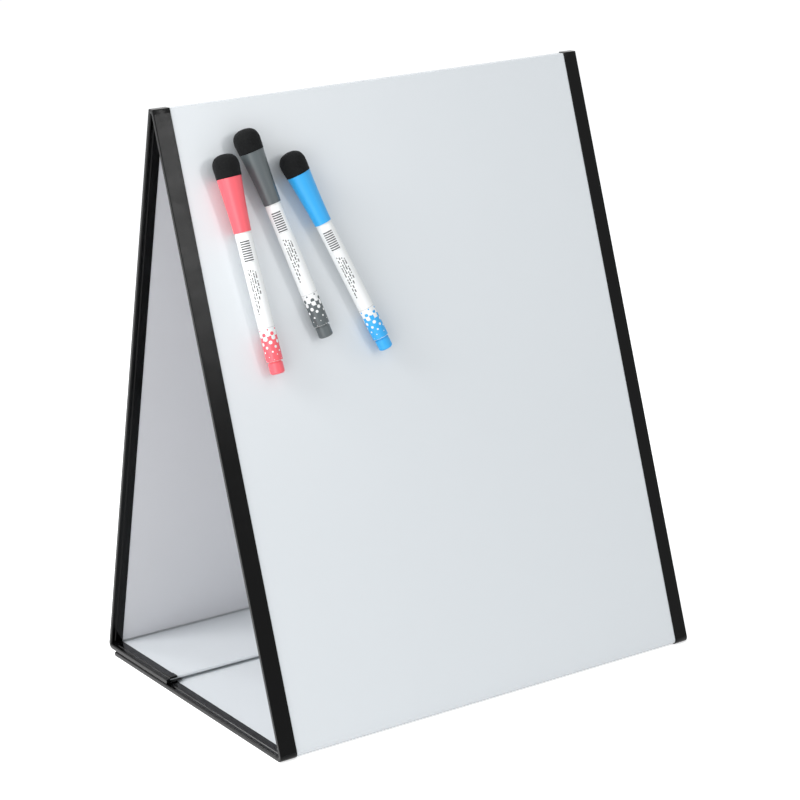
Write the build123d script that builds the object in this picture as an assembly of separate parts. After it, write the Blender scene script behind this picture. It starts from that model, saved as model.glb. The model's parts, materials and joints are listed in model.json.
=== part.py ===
from build123d import *
import os
from math import asin, atan2, cos, degrees, hypot, radians, sin, tan

# A magnetic whiteboard easel for a desk, with three magnetic-cap markers.
#
# Four stiff white panels make one strip that folds inwards: base, front, back and flap.
# The flap lies on the base and holds it by a magnet, so the strip closes into a tent.
# Every panel is a sandwich of film, steel sheet, core and film, edged left and right with
# a black U-section. The strip folds at three lines: the foot (base to front), the ridge
# (front to back) and the heel (back to flap). At the strip's two free ends, on the base
# and the flap, a fold of film closes the sandwich.
#
# Frame: +X right, +Y back, +Z up, millimetres. The origin is at the middle of the
# footprint, on the desk.
#
# Each panel has its own frame: x across, y along the strip (base, front, back, flap) and
# z out of the tent. z is 0 on the edging's inner face, which holds the fold line.

# ---------------------------------------------------------------- driving dimensions
# Strip, fold line to fold line or to a free end
board_width = 308.0
front_length = 392.0
base_length = 217.5
flap_length = 79.0
front_lean = 16.2           # degrees from upright
fold_open = 144.0           # degrees that the ridge opens, from the tent to laid flat
lap_gap = 0.3               # between the flap's edging and the base's
fold_clearance = 0.2        # a panel's end, short of its fold line

# Sandwich
core_thickness = 1.5
steel_thickness = 0.3
film_thickness = 0.25
hinge_film_thickness = 0.5  # both films, welded together at a fold

# Edging
trim_wall = 0.6
trim_web = 2.8              # outer edge to the board's edge
trim_left_flange = 11.7     # outer edge to the flange's lip, outside the tent
trim_right_flange = 9.8     # the same, on the right edge
trim_inner_flange = 8.5     # outer edge to the flange's lip, inside the tent
trim_lip_radius = 0.35
trim_corner_radius = 0.45   # between the web and the outer flange
trim_pinch = 0.4            # how far the web's inner side lies below the inner flange
trim_shoulder = 3.0         # outer edge to where the inner flange starts to fall to it
trim_slope = 0.45           # the fall's width
trim_nose_radius = 1.0      # between the web's inner side and its outside
trim_end_radius = 1.6       # a free end, seen from the side
tuck_length = 7.0           # the flap's edging, folded back over its own end
tuck_overhang = 2.5         # the flap's edging, past the flap's own end
tuck_thickness = 0.6
tuck_corner_radius = 1.2
tuck_edge_radius = 0.48

# Magnet strip in the flap's core
magnet_length = 250.0
magnet_width = 18.0
magnet_inset = 12.0         # from the flap's free edge

# Marker, lengths along its axis
eraser_length = 14.4
eraser_radius = 8.35
eraser_foot_radius = 7.8
eraser_widest_at = 8.0      # below the eraser's top
eraser_flatness = 0.72      # how far the dome's top runs flat, as a share of its radius
eraser_shoulder = 0.38      # how high the dome's side runs straight, as a share of its rise
cap_length = 33.8
cap_top_radius = 7.65
cap_waist_radius = 6.41
cap_mouth_radius = 5.4
cap_waist_at = 15.2         # below the eraser
cap_wall = 1.15
cap_roof = 1.6
cap_roof_thickening = 0.1   # of the cap's wall, where it meets the roof
boss_radius = 5.2           # on the cap's roof, inside the eraser
boss_height = 4.9
cap_magnet_radius = 4.0
cap_magnet_thickness = 3.0
barrel_length = 79.8        # cap's mouth to the barrel's end
barrel_radius = 4.95
barrel_wall = 0.95
label_thickness = 0.15
label_margin = 0.8          # bare barrel between the cap and the label
label_hem = 0.15            # bare barrel at the label's other end
shoulder_thickness = 1.0    # the barrel's step down to its nose
nose_length = 15.5          # barrel's nose, inside the cap
nose_cone_length = 5.0
nose_floor_depth = 7.7      # the nose's bore, in front of the shoulder
nose_tip_radius = 2.7
nib_radius = 2.1
nib_reach = 5.0             # nib in front of the nose
nib_tail = 16.0             # nib behind the nose's tip
ink_core_length = 73.0
ink_socket_depth = 6.0
plug_length = 8.0
plug_radius = 4.5
plug_neck_length = 1.1
plug_spigot_length = 9.0
plug_chamfer = 0.8
running_clearance = 0.2     # cap on the nose, radially
seat_clearance = 0.05       # pieces fitted inside one marker
rest_clearance = 0.3        # eraser off the writing film
tail_clearance = 0.9        # barrel's end off the writing film, so that it can slide out

# Where the markers hang: name, top of the eraser (from the board's left edge, below the
# ridge's fold line) and turn of the tail to the right of straight down, degrees
markers = (
    ("red", 33.7, 30.4, 4.0),
    ("grey", 49.9, 17.5, 13.3),
    ("blue", 77.5, 35.5, 18.9),
)

# ---------------------------------------------------------------- derived sizes
board_thickness = core_thickness + steel_thickness + 2 * film_thickness
end_radius = board_thickness / 2
trim_depth = board_thickness + 2 * trim_wall
overall_width = board_width + 2 * trim_web

# The back's foot stands on the base, one edging and the lap's gap higher than the foot's
# fold line. The back is just so much shorter that the flap keeps level with the base at
# both ends of the fold.
heel_rise = trim_depth + lap_gap
heel_reach = heel_rise * tan(radians(fold_open / 4))
lean = radians(front_lean)
back_run = front_length * sin(lean) + heel_reach
back_drop = front_length * cos(lean) - heel_rise
back_length = hypot(back_run, back_drop)
back_lean = atan2(back_run, back_drop)

footprint = front_length * sin(lean) + back_run
foot = Vector(0, -footprint / 2, trim_depth)
ridge = foot + Vector(0, front_length * sin(lean), front_length * cos(lean))
heel = foot + Vector(0, footprint, heel_rise)

front_out = Vector(0, -cos(lean), sin(lean))
back_out = Vector(0, cos(back_lean), sin(back_lean))
down = Vector(0, 0, -1)
across = Vector(1, 0, 0)

base_frame = Plane(foot, x_dir=across, z_dir=down)
front_frame = Plane(foot, x_dir=across, z_dir=front_out)
front_top_frame = Plane(ridge, x_dir=across, z_dir=front_out)
back_frame = Plane(ridge, x_dir=across, z_dir=back_out)
back_end_frame = Plane(heel, x_dir=across, z_dir=back_out)
flap_frame = Plane(heel, x_dir=across, z_dir=down)

foot_bend = 90 + front_lean
ridge_bend = 180 - front_lean - degrees(back_lean)
heel_bend = 90 + degrees(back_lean)

nodes = {}


# ---------------------------------------------------------------- panels
def sheet(start, end, low, thickness, width=board_width):
    """A flat layer of a panel, from start to end along the strip, in the panel's frame."""
    plate = Box(width, end - start, thickness)
    return Pos(0, (start + end) / 2, low + thickness / 2) * plate


def sandwich(name, frame, start, end, steel_outside, outer_name, inner_name):
    """Core, steel sheet and the two films of one panel, each layer on the one below it."""
    inner_film = trim_wall
    first = inner_film + film_thickness
    core_low = first if steel_outside else first + steel_thickness
    steel_low = first + core_thickness if steel_outside else first
    outer_film = trim_wall + board_thickness - film_thickness
    nodes[f"{name}_core"] = frame * sheet(start, end, core_low, core_thickness)
    nodes[f"{name}_steel_sheet"] = frame * sheet(start, end, steel_low, steel_thickness)
    nodes[outer_name] = frame * sheet(start, end, outer_film, film_thickness)
    nodes[inner_name] = frame * sheet(start, end, inner_film, film_thickness)


def magnetic_flap(start, end):
    """The flap: a core as thick as the other panels' core and steel, round its magnet."""
    low = trim_wall + film_thickness
    thickness = core_thickness + steel_thickness
    magnet_end = end - magnet_inset
    core = sheet(start, end, low, thickness)
    magnet = sheet(magnet_end - magnet_width, magnet_end, low, thickness, magnet_length)
    outer_film = low + thickness
    nodes["flap_core"] = flap_frame * (core - magnet)
    nodes["flap_magnet_strip"] = flap_frame * magnet
    nodes["flap_under_film"] = flap_frame * sheet(start, end, outer_film, film_thickness)
    nodes["flap_top_film"] = flap_frame * sheet(start, end, trim_wall, film_thickness)


def end_film(name, frame, end, outward):
    """The film's fold round a free end: a half-round shell from one film to the other.
    outward is 1 or -1, the way along the strip that the fold bulges."""
    shell = Circle(end_radius) - Circle(end_radius - film_thickness)
    outer_half = Pos(outward * end_radius / 2, 0) * Rectangle(end_radius, 2 * end_radius)
    roll = extrude(Plane.YZ * (shell & outer_half), amount=board_width / 2, both=True)
    nodes[name] = frame * Pos(0, end, trim_wall + end_radius) * roll


# ---------------------------------------------------------------- edging
def trim_section(outer_flange):
    """The edging's U-section on the left edge: a solid web and two thin flanges. Inside the
    tent the web is pinched a little flatter than the flange, which leaves a shoulder."""
    edge = -overall_width / 2
    outside = trim_depth
    outer_grip = trim_depth - trim_wall
    rounded = {
        (0, outside): trim_corner_radius,
        (outer_flange, outside): trim_lip_radius,
        (trim_inner_flange, 0): trim_lip_radius,
        (0, trim_pinch): trim_nose_radius,
    }
    outline = [
        (0, outside),
        (outer_flange, outside),
        (outer_flange, outer_grip),
        (trim_web, outer_grip),
        (trim_web, trim_wall),
        (trim_inner_flange, trim_wall),
        (trim_inner_flange, 0),
        (trim_shoulder, 0),
        (trim_shoulder - trim_slope, trim_pinch),
        (0, trim_pinch),
    ]
    face = make_face(Polyline(*[(edge + inward, depth) for inward, depth in outline], close=True))
    for (inward, depth), radius in rounded.items():
        corner = face.vertices().sort_by_distance((edge + inward, depth))[0]
        face = fillet(corner, radius)
    return face


def edge_sections():
    """The left and the right edge, each with its section of the edging."""
    yield "left", trim_section(trim_left_flange)
    yield "right", mirror(trim_section(trim_right_flange), about=Plane.YZ)


def rounded_side(length):
    """What an edging keeps, seen from the side, when its far end is rounded off."""
    side = Rectangle(length, trim_depth, align=(Align.MIN, Align.MIN))
    side = fillet(side.vertices().group_by(Axis.X)[-1], trim_end_radius)
    return extrude(Plane.YZ * side, amount=overall_width, both=True)


def tuck(length):
    """The edging's end folded back over its inner flange, as a thin rounded pad."""
    start = length - tuck_length
    middle = (trim_shoulder + trim_inner_flange) / 2 - overall_width / 2
    pad = Box(trim_inner_flange - trim_shoulder, tuck_length, tuck_thickness + trim_wall)
    pad = Pos(middle, start + tuck_length / 2, (trim_wall - tuck_thickness) / 2) * pad
    corners = pad.edges().filter_by(Axis.Z)
    pad = fillet(corners, tuck_corner_radius)
    return fillet(pad.faces().sort_by(Axis.Z)[0].edges(), tuck_edge_radius)


def trim(name, frame, start, end, free=None):
    """One panel's two edgings. free names the end, if any, that stands free."""
    length = end - start
    for side, section in edge_sections():
        edging = extrude(Plane.XZ * section, amount=length, dir=(0, 1, 0))
        if free == "start":
            kept = Pos(0, length, 0) * mirror(rounded_side(length), about=Plane.XZ)
            edging = edging & kept
        if free == "end":
            pad = tuck(length)
            if side == "right":
                pad = mirror(pad, about=Plane.YZ)
            edging = (edging & rounded_side(length)) + pad
        nodes[f"{name}_trim_{side}"] = frame * Pos(0, start, 0) * edging


# ---------------------------------------------------------------- folds
def bend(frame, section, angle):
    """A section turned about the fold line, from one panel's end to the next one's."""
    turned = revolve(Plane.XZ * section, axis=Axis((0, 0, 0), (-1, 0, 0)), revolution_arc=angle)
    return frame * turned


def fold(name, frame, angle):
    """The white living hinge of one fold and the black binding on its two ends."""
    film_outside = trim_depth - trim_wall
    middle = film_outside - hinge_film_thickness / 2
    film = Pos(0, middle) * Rectangle(board_width, hinge_film_thickness)
    nodes[f"{name}_hinge_film"] = bend(frame, film, angle)
    for side, section in edge_sections():
        nodes[f"{name}_binding_{side}"] = bend(frame, section, angle)


# ---------------------------------------------------------------- markers
cap_start = eraser_length
cap_end = cap_start + cap_length
barrel_end = cap_end + barrel_length
marker_length = barrel_end + plug_length
nose_start = cap_end - nose_length
label_radius = barrel_radius + label_thickness
bore_radius = barrel_radius - barrel_wall
nose_radius = cap_mouth_radius - cap_wall - running_clearance
barrel_start = cap_end + seat_clearance
tail_drop = eraser_radius + rest_clearance - label_radius - tail_clearance
marker_tilt = asin(tail_drop / (barrel_end - eraser_widest_at))


def turned(outline):
    """A solid of revolution about the marker's axis, from edges in (radius, along)."""
    return revolve(Plane.XZ * make_face(outline), axis=Axis.Z)


def profile(*points):
    """Straight edges through (radius, along) points, closed."""
    return Polyline(*points, close=True).edges()


def felt_eraser():
    """A felt dome with a blind hole for the cap's boss."""
    hole_radius = boss_radius + seat_clearance
    hole_top = eraser_length - boss_height - seat_clearance
    dome = Bezier(
        (0, 0),
        (eraser_radius * eraser_flatness, 0),
        (eraser_radius, eraser_widest_at * eraser_shoulder),
        (eraser_radius, eraser_widest_at),
    )
    rest = Polyline(
        (eraser_radius, eraser_widest_at),
        (eraser_foot_radius, eraser_length),
        (hole_radius, eraser_length),
        (hole_radius, hole_top),
        (0, hole_top),
        (0, 0),
    )
    return turned([dome, *rest.edges()])


def marker_cap():
    """A hollow tapered cap whose roof carries a boss with the magnet's pocket."""
    pocket_radius = cap_magnet_radius + seat_clearance
    pocket_floor = cap_start - boss_height + cap_magnet_thickness + 2 * seat_clearance
    boss_top = cap_start - boss_height
    waist = cap_start + cap_waist_at
    roof = cap_start + cap_roof
    roof_radius = cap_top_radius - cap_wall - cap_roof_thickening
    outer = Spline(
        (cap_top_radius, cap_start), (cap_waist_radius, waist), (cap_mouth_radius, cap_end)
    )
    inner = Spline(
        (cap_mouth_radius - cap_wall, cap_end),
        (cap_waist_radius - cap_wall, waist),
        (roof_radius, roof),
    )
    return turned([
        outer,
        Line((cap_mouth_radius, cap_end), (cap_mouth_radius - cap_wall, cap_end)),
        inner,
        Line((roof_radius, roof), (0, roof)),
        Line((0, roof), (0, pocket_floor)),
        Line((0, pocket_floor), (pocket_radius, pocket_floor)),
        Line((pocket_radius, pocket_floor), (pocket_radius, boss_top)),
        Line((pocket_radius, boss_top), (boss_radius, boss_top)),
        Line((boss_radius, boss_top), (boss_radius, cap_start)),
        Line((boss_radius, cap_start), (cap_top_radius, cap_start)),
    ])


def cap_magnet():
    """A disc in the boss's pocket."""
    low = cap_start - boss_height + seat_clearance
    high = low + cap_magnet_thickness
    return turned(profile((0, low), (cap_magnet_radius, low), (cap_magnet_radius, high), (0, high)))


def barrel():
    """The tube that holds the ink core, with the stepped nose that the cap goes over."""
    nib_hole = nib_radius + seat_clearance
    cone_end = nose_start + nose_cone_length
    floor = barrel_start - nose_floor_depth
    shoulder = barrel_start + shoulder_thickness
    return turned(profile(
        (nib_hole, nose_start),
        (nose_tip_radius, nose_start),
        (nose_radius, cone_end),
        (nose_radius, barrel_start),
        (barrel_radius, barrel_start),
        (barrel_radius, barrel_end),
        (bore_radius, barrel_end),
        (bore_radius, shoulder),
        (nose_radius - barrel_wall, barrel_start),
        (nose_radius - barrel_wall, floor),
        (nib_hole, floor),
    ))


def label():
    """The printed sleeve round the barrel."""
    low = barrel_start + label_margin
    high = barrel_end - label_hem
    return turned(profile(
        (barrel_radius, low), (label_radius, low), (label_radius, high), (barrel_radius, high)
    ))


def nib():
    """A bullet nib."""
    tip = nose_start - nib_reach
    shoulder = tip + nib_radius
    tail = nose_start + nib_tail
    bullet = RadiusArc((0, tip), (nib_radius, shoulder), -nib_radius)
    sides = Polyline((nib_radius, shoulder), (nib_radius, tail), (0, tail), (0, tip))
    return turned([bullet, *sides.edges()])


def ink_core():
    """The fibre reservoir behind the nib, which it holds in a blind socket."""
    socket_radius = nib_radius + seat_clearance
    radius = bore_radius - seat_clearance
    low = nose_start + nib_tail - ink_socket_depth
    socket_floor = nose_start + nib_tail + seat_clearance
    high = low + ink_core_length
    start = max(low, barrel_start + shoulder_thickness + seat_clearance)
    return turned(profile(
        (socket_radius, start),
        (radius, start),
        (radius, high),
        (0, high),
        (0, socket_floor),
        (socket_radius, socket_floor),
    ))


def end_plug():
    """The coloured plug in the barrel's end. Its spigot shows as a neck in front of it."""
    neck_end = barrel_end + plug_neck_length
    spigot_radius = bore_radius - seat_clearance
    spigot_start = barrel_end - plug_spigot_length
    return turned(profile(
        (0, spigot_start),
        (spigot_radius, spigot_start),
        (spigot_radius, neck_end),
        (plug_radius, neck_end),
        (plug_radius, marker_length - plug_chamfer),
        (plug_radius - plug_chamfer, marker_length),
        (0, marker_length),
    ))


def marker_frame(left, below, turn):
    """A marker's own frame: origin at its top, z along its axis towards the tail. The
    eraser's widest ring and the barrel's end both lie just off the writing film."""
    surface = trim_depth - trim_wall
    height = surface + rest_clearance + eraser_radius + eraser_widest_at * sin(marker_tilt)
    flat = Vector(sin(radians(turn)), -cos(radians(turn)), 0) * cos(marker_tilt)
    axis = flat - Vector(0, 0, sin(marker_tilt))
    start = Vector(left - board_width / 2, -below, height)
    origin = front_top_frame.from_local_coords(start)
    tail = front_top_frame.from_local_coords(start + axis)
    side = front_top_frame.from_local_coords(
        start + Vector(cos(radians(turn)), sin(radians(turn)), 0)
    )
    return Plane(origin, x_dir=side - origin, z_dir=tail - origin)


def marker(name, left, below, turn):
    """All the pieces of one capped marker, hanging on the front."""
    frame = marker_frame(left, below, turn)
    pieces = {
        "eraser": felt_eraser(),
        "cap": marker_cap(),
        "cap_magnet": cap_magnet(),
        "barrel": barrel(),
        "label": label(),
        "nib": nib(),
        "ink_core": ink_core(),
        "end_plug": end_plug(),
    }
    for piece, solid in pieces.items():
        nodes[f"{name}_{piece}"] = frame * solid
    return frame


# ---------------------------------------------------------------- assembly
base_start = -base_length
base_end = -fold_clearance
front_end = front_length - fold_clearance
back_end = back_length - fold_clearance
base_board_start = base_start + end_radius
flap_board_end = flap_length - tuck_overhang - end_radius

sandwich("base", base_frame, base_board_start, base_end, False, "base_under_film",
         "base_top_film")
sandwich("front", front_frame, fold_clearance, front_end, True, "front_writing_film",
         "front_inner_film")
sandwich("back", back_frame, fold_clearance, back_end, True, "back_writing_film",
         "back_inner_film")
magnetic_flap(fold_clearance, flap_board_end)
end_film("base_end_film", base_frame, base_board_start, -1)
end_film("flap_end_film", flap_frame, flap_board_end, 1)

trim("base", base_frame, base_start, base_end, free="start")
trim("front", front_frame, fold_clearance, front_end)
trim("back", back_frame, fold_clearance, back_end)
trim("flap", flap_frame, fold_clearance, flap_length, free="end")

fold("foot", base_frame, foot_bend)
fold("ridge", front_top_frame, ridge_bend)
fold("heel", back_end_frame, heel_bend)

frames = {row[0]: marker(*row) for row in markers}

os.makedirs("parts", exist_ok=True)
for name, solid in nodes.items():
    solid.label = name
    export_step(solid, f"parts/{name}.step")

if __name__ == "__main__":
    print(f"{len(nodes)} nodes, {overall_width:.1f} wide, {footprint + 2 * trim_depth:.1f} deep")
    for name, point in (("foot", foot), ("ridge", ridge), ("heel", heel)):
        print(f"{name} fold at y {point.Y:.3f}, z {point.Z:.3f}")
    print(f"back {back_length:.2f} long, leaning {degrees(back_lean):.3f} degrees")
    print(f"marker {marker_length:.1f} long, tilted {degrees(marker_tilt):.2f} degrees")
    for name, frame in frames.items():
        print(f"{name} marker: top at {frame.origin}, axis {frame.z_dir}")
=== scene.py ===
"""Finish of a magnetic desk whiteboard easel: its films, edging, bending folds and markers.

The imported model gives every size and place. What Blender adds is the look: the folds and
bindings that bend with the joints, the markers' turned shells, printed sleeves and felt,
and a material for every surface. Lengths named _mm are millimetres on the real object.
"""

import contextlib
import functools
import json
import math

import bmesh
import bpy
from bpy.props import FloatProperty, FloatVectorProperty, IntProperty, PointerProperty
from mathutils import Matrix, Quaternion, Vector, noise

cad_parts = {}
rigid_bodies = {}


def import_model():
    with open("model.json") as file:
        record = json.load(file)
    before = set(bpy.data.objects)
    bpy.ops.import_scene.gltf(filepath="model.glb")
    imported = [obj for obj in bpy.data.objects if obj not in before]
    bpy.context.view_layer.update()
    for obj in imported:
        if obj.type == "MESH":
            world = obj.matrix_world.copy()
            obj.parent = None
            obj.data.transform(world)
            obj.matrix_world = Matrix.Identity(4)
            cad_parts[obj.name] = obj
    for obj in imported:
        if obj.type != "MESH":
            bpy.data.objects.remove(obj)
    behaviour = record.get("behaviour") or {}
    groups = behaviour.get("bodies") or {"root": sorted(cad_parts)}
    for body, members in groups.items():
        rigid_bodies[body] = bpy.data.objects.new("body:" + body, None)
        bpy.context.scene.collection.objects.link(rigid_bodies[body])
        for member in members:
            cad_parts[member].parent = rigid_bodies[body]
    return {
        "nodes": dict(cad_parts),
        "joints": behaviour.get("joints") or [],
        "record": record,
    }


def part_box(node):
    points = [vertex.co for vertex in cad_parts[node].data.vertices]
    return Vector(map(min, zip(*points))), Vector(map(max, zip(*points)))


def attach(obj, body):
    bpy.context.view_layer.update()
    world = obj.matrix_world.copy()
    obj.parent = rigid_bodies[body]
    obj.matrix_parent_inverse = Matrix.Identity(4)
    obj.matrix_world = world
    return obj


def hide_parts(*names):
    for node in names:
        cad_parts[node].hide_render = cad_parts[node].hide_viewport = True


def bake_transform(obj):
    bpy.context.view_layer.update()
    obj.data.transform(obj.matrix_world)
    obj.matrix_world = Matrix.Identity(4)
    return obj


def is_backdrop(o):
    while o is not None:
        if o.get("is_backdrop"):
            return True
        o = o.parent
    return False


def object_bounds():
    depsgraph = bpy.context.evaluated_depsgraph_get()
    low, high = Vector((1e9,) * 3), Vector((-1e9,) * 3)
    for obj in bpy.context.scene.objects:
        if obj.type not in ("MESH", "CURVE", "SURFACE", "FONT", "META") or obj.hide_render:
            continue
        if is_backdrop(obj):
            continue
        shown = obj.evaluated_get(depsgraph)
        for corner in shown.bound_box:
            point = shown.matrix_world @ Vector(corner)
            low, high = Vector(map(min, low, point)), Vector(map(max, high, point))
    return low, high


bl_info = {
    "name": "Whiteboard easel",
    "version": (1, 0, 0),
    "blender": (4, 5, 0),
    "location": "3D View > Sidebar > Easel",
    "description": "Dresses the model of a magnetic desk whiteboard easel and its markers",
    "category": "Object",
}

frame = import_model()
cad_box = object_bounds()

MM = 0.001
WHITE = (1.0, 1.0, 1.0, 1.0)
COLOURS = ("red", "grey", "blue")
JOINTS = {joint["name"]: joint for joint in frame["joints"]}
SLOT_OF = {part["node"]: part["material_slot"] for part in frame["record"]["subparts"]}
# The films inside the tent take a copy of the writing film with a lilac-grey tint: painted shade,
# the cast that the inside shows in shade.
SHADE_TINTED_FILM = "inner film"
INSIDE_FILMS = ("front_inner_film", "back_inner_film")


# ---------- settings
def length(name, description, default_mm):
    """A length that the panel shows in the scene's units."""
    return FloatProperty(
        name=name, description=description, default=default_mm * MM, unit="LENGTH", precision=5
    )


def colour(name, description, default):
    """A colour, written as linear light."""
    return FloatVectorProperty(
        name=name, description=description, default=default, size=3, min=0, max=1,
        subtype="COLOR",
    )


def share(name, description, default):
    """A number from 0 to 1."""
    return FloatProperty(
        name=name, description=description, default=default, min=0, max=1, subtype="FACTOR"
    )


def angle(name, description, degrees):
    """An angle that the panel shows in degrees."""
    return FloatProperty(
        name=name, description=description, default=math.radians(degrees), subtype="ANGLE"
    )


def watts(name, description, default):
    """The power of a lamp."""
    return FloatProperty(
        name=name, description=description, default=default, min=0, unit="POWER"
    )


class StageSettings(bpy.types.PropertyGroup):
    """Camera, lamps and background."""

    camera_place: FloatVectorProperty(
        name="Camera place", description="Where the lens is, from the middle of the footprint",
        default=(-0.8269, -1.3230, 0.6226), subtype="TRANSLATION", unit="LENGTH",
    )
    camera_left: angle("Left of the front", "How far round to the left the camera is", 32.35)
    camera_above: angle("Above level", "How far the camera looks down", 16.10)
    camera_roll: angle("Roll", "How far the picture leans", 2.44)
    lens: FloatProperty(
        name="Lens", description="Focal length on a 36 mm sensor", default=112.2, unit="CAMERA"
    )
    sky: colour("Sky light", "Colour of the soft light from all round", (0.95, 0.98, 1.0))
    sky_level: share("Sky level", "Strength of the soft light from all round", 0.49)
    key_power: watts("Key lamp", "Broad lamp high on the right", 5.6)
    gloss_power: watts("Gloss lamp", "Lamp that the board's upper left mirrors", 2.9)
    side_power: watts("Side lamp", "Lamp high on the left that lights the base", 24.0)
    rim_power: watts("Rim lamp", "Lamp behind, on the left, that the edging mirrors", 5.0)
    fill_power: watts("Fill lamp", "Low lamp on the left, in front, for the tent's inside", 5.8)
    floor_tone: share("Floor tone", "How pale the floor is", 0.86)


class FilmSettings(bpy.types.PropertyGroup):
    """The white dry-erase film and what it covers."""

    film: colour("Film", "Colour of the writing film", (0.715, 0.745, 0.770))
    # Painted shade tint: the same writing film, given the lilac-grey cast of the tent's shaded
    # inside.
    inner_film: colour("Inner film", "Colour of the film inside the tent", (0.725, 0.725, 0.750))
    board: colour("Grey board", "Colour of the pressed board", (0.30, 0.29, 0.27))
    steel: colour("Steel", "Colour of the thin steel sheet", (0.56, 0.57, 0.58))
    magnet: colour("Magnet strip", "Colour of the flexible magnet", (0.035, 0.030, 0.027))
    film_roughness: share("Film roughness", "How blurred the film's gloss is", 0.27)


class EdgingSettings(bpy.types.PropertyGroup):
    """The black edging and the folds."""

    black: colour("Edging", "Colour of the black edging", (0.0014, 0.0015, 0.0016))
    # Paler colour at the edging's edges: partly rubbed wear, partly a painted highlight along the
    # lips.
    worn: colour("Worn edge", "Colour where the edging's edges are rubbed", (0.030, 0.031, 0.033))
    roughness: share("Edging roughness", "How blurred the edging's gloss is", 0.16)
    inner_flange: length("Inner flange", "Edging's width inside the tent", 8.5)
    web: length("Web", "From the edging's outside to the board's edge", 2.8)
    wall: length("Wall", "Thickness of the edging's flanges", 0.6)
    depth: length("Depth", "Thickness of the edged board", 3.5)
    lip: length("Lip", "Radius of the flanges' lips", 0.35)
    corner: length("Corner", "Radius of the outside's corner", 0.45)
    pinch: length("Pinch", "How far the inside is pinched down along the outer edge", 0.4)
    shoulder: length("Shoulder", "From the outer edge to where the pinch starts", 3.0)
    slope: length("Slope", "Width of the fall into the pinch", 0.45)
    nose: length("Nose", "Radius between the pinched inside and the outer edge", 1.0)
    flat_top: share("Flat top", "Height of the ridge's flat top, as a share of the depth", 0.93)
    weld: length("Weld", "Thickness of the two films where they are welded at a fold", 0.5)
    lap: length("Lap", "How far a fold's piece runs on over its panels", 1.1)
    proud: length("Proud", "How far a fold's piece stands over its panels", 0.012)
    arc_steps: IntProperty(
        name="Arc steps", description="Steps round one fold", default=20, min=6, max=60
    )


class MarkerSettings(bpy.types.PropertyGroup):
    """The markers' plastic, print and felt."""

    red: colour("Red", "Plastic and ink of the red marker", (0.91, 0.120, 0.150))
    grey: colour("Grey", "Plastic and ink of the grey marker", (0.095, 0.112, 0.118))
    blue: colour("Blue", "Plastic and ink of the blue marker", (0.030, 0.400, 0.84))
    paper: colour("Sleeve", "White of the printed sleeve", (0.86, 0.87, 0.87))
    barrel: colour("Barrel", "White of the barrel", (0.80, 0.81, 0.80))
    felt: colour("Felt", "Colour of the eraser's felt", (0.0070, 0.0073, 0.0075))
    fuzz: length("Fuzz", "Height of the felt's uneven surface", 0.16)
    rim: length("Rim", "Radius of the plastic's edges", 0.22)
    segments: IntProperty(
        name="Segments", description="Steps round a marker", default=72, min=16, max=160
    )


# ---------- nodes
def add_node(tree, kind, inputs=None, **settings):
    """A node with its settings, whose inputs take values or other nodes' sockets."""
    made = tree.nodes.new(kind)
    for key, value in settings.items():
        setattr(made, key, value)
    for key, value in (inputs or {}).items():
        if isinstance(value, bpy.types.NodeSocket):
            tree.links.new(value, made.inputs[key])
        else:
            made.inputs[key].default_value = value
    return made


def maths(tree, operation, *values):
    """One step of arithmetic."""
    made = add_node(tree, "ShaderNodeMath", dict(enumerate(values)), operation=operation)
    return made.outputs[0]


def arithmetic(operation):
    """A function for one kind of step."""
    return lambda tree, first, second: maths(tree, operation, first, second)


plus, minus, times = map(arithmetic, ("ADD", "SUBTRACT", "MULTIPLY"))


def remap(tree, value, low, high, to_low=0.0, to_high=1.0):
    """A value moved from one range to another, held at its ends."""
    inputs = {0: value, 1: low, 2: high, 3: to_low, 4: to_high}
    return add_node(tree, "ShaderNodeMapRange", inputs).outputs[0]


def blend_colour(tree, amount, first, second):
    """Two colours mixed."""
    inputs = {0: amount, 6: first, 7: second}
    return add_node(tree, "ShaderNodeMix", inputs, data_type="RGBA").outputs[2]


def vector_maths(tree, operation, output=0, **inputs):
    """One step of vector arithmetic; inputs are a, b and scale."""
    sockets = {"a": 0, "b": 1, "scale": "Scale"}
    inputs = {sockets[key]: value for key, value in inputs.items()}
    return add_node(tree, "ShaderNodeVectorMath", inputs, operation=operation).outputs[output]


def noise_value(tree, **inputs):
    """Smooth noise from 0 to 1, in one dimension when it is given W."""
    dimensions = "1D" if "W" in inputs else "3D"
    made = add_node(tree, "ShaderNodeTexNoise", inputs, noise_dimensions=dimensions)
    return made.outputs["Fac"]


def object_place(tree):
    """A point's place in its object's own frame."""
    return add_node(tree, "ShaderNodeTexCoord").outputs["Object"]


def solid(rgb):
    """A colour with full alpha."""
    return (*rgb, 1.0)


def new_group(name, outputs, inputs):
    """An empty node group. Each output and input has a value that shows its kind: a number, a
    vector of three or a colour of four. An input's is its default."""
    tree = bpy.data.node_groups.new(name, "ShaderNodeTree")
    for in_out, sockets in (("INPUT", inputs), ("OUTPUT", outputs)):
        for key, value in sockets.items():
            size = len(value) if isinstance(value, tuple) else 1
            kind = {1: "NodeSocketFloat", 3: "NodeSocketVector", 4: "NodeSocketColor"}[size]
            socket = tree.interface.new_socket(key, in_out=in_out, socket_type=kind)
            socket.default_value = value
    return tree, tree.nodes.new("NodeGroupInput").outputs, tree.nodes.new("NodeGroupOutput").inputs


def grain_group():
    """Fine uneven height of a moulded, rolled or pressed surface."""
    tree, given, out = new_group(
        "Surface grain", {"Height": 0.0},
        {"Grains per metre": 900.0, "Stretch": (1.0, 1.0, 1.0), "Roughness": 0.5},
    )
    stretched = vector_maths(tree, "MULTIPLY", a=object_place(tree), b=given["Stretch"])
    speck = noise_value(
        tree, Vector=stretched, Scale=given["Grains per metre"], Detail=3.0,
        Roughness=given["Roughness"],
    )
    tree.links.new(speck, out["Height"])
    return tree


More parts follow.
